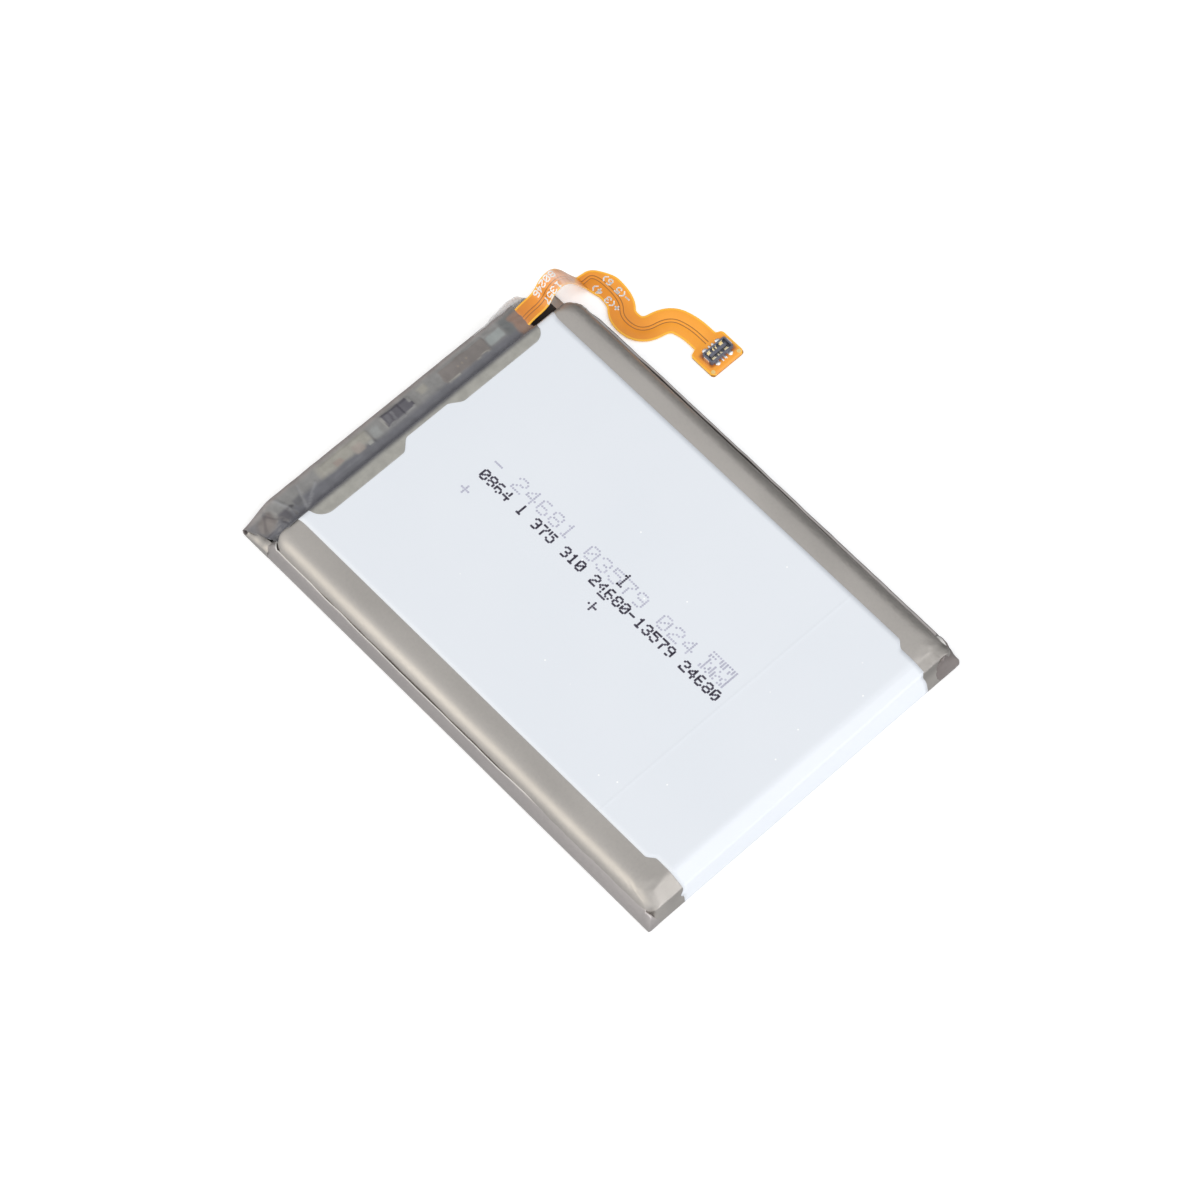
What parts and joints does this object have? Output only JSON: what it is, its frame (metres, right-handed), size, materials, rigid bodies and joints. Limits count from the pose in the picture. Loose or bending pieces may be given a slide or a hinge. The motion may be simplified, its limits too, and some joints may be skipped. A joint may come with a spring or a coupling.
{
  "type": "pouch battery cell",
  "caption": "Flat lithium pouch cell with folded side seals, a wrapped label film, a taped protection board at one end and a flex circuit tail with a board-to-board connector.",
  "frame": {"origin": "middle of the cell's back face, without the flex circuit tail", "axes": "+Z from the back face to the label face, +Y along the cell from its tail to the protection board header, +X towards the side where the flex circuit leaves"},
  "size_m": [0.0579, 0.0674, 0.0058],
  "materials": {
    "laminate": "satin pouch laminate, nylon over aluminium foil",
    "cathode": "matt oxide coating",
    "anode": "matt graphite coating",
    "separator_film": "thin porous film",
    "stack_tape": "matt tape",
    "aluminium_foil": "bright foil",
    "nickel": "bright nickel",
    "sealant": "melted film",
    "foam": "closed-cell foam",
    "board": "solder mask over glass-fibre board",
    "chip_mould": "moulded epoxy",
    "solder": "bright solder",
    "ceramic": "fired ceramic",
    "label": "pale blue-white film, satin",
    "tape": "grey translucent tape",
    "clear_tape": "clear tape",
    "polyimide": "amber polyimide film, glossy",
    "copper": "copper under film",
    "stiffener": "stiff polyimide",
    "connector_plastic": "moulded liquid-crystal polymer",
    "gold": "gold plating"
  },
  "bodies": {
    "root": {"pouch_front_cup": "laminate", "pouch_back_panel": "laminate", "side_seal_left": "laminate", "side_seal_right": "laminate", "tail_corner_ears": "laminate", "cathode_plates": "cathode", "anode_plates": "anode", "separator": "separator_film", "stack_tapes": "stack_tape", "positive_tab": "aluminium_foil", "negative_tab": "nickel", "tab_sealant_films": "sealant", "header_foam": "foam", "protection_board": "board", "positive_weld_plate": "nickel", "negative_weld_plate": "nickel", "weld_nuggets": "nickel", "dual_mosfet": "chip_mould", "protection_ic": "chip_mould", "chip_leads": "solder", "chip_capacitors": "ceramic", "sense_resistor": "chip_mould", "thermistor": "ceramic", "chip_fuse": "ceramic", "chip_end_caps": "solder", "label_film": "label", "header_tape": "tape", "header_tape_flap": "tape", "header_end_tape": "tape", "edge_tape": "clear_tape", "flex_base_film": "polyimide", "flex_coverlay": "polyimide", "flex_conductors": "copper", "flex_stiffener": "stiffener", "flex_solder_joints": "solder", "connector_housing": "connector_plastic", "connector_power_contacts": "gold", "connector_signal_contacts": "gold", "connector_feet": "solder", "connector_hold_downs": "gold", "test_lands": "gold"}
  },
  "joints": []
}
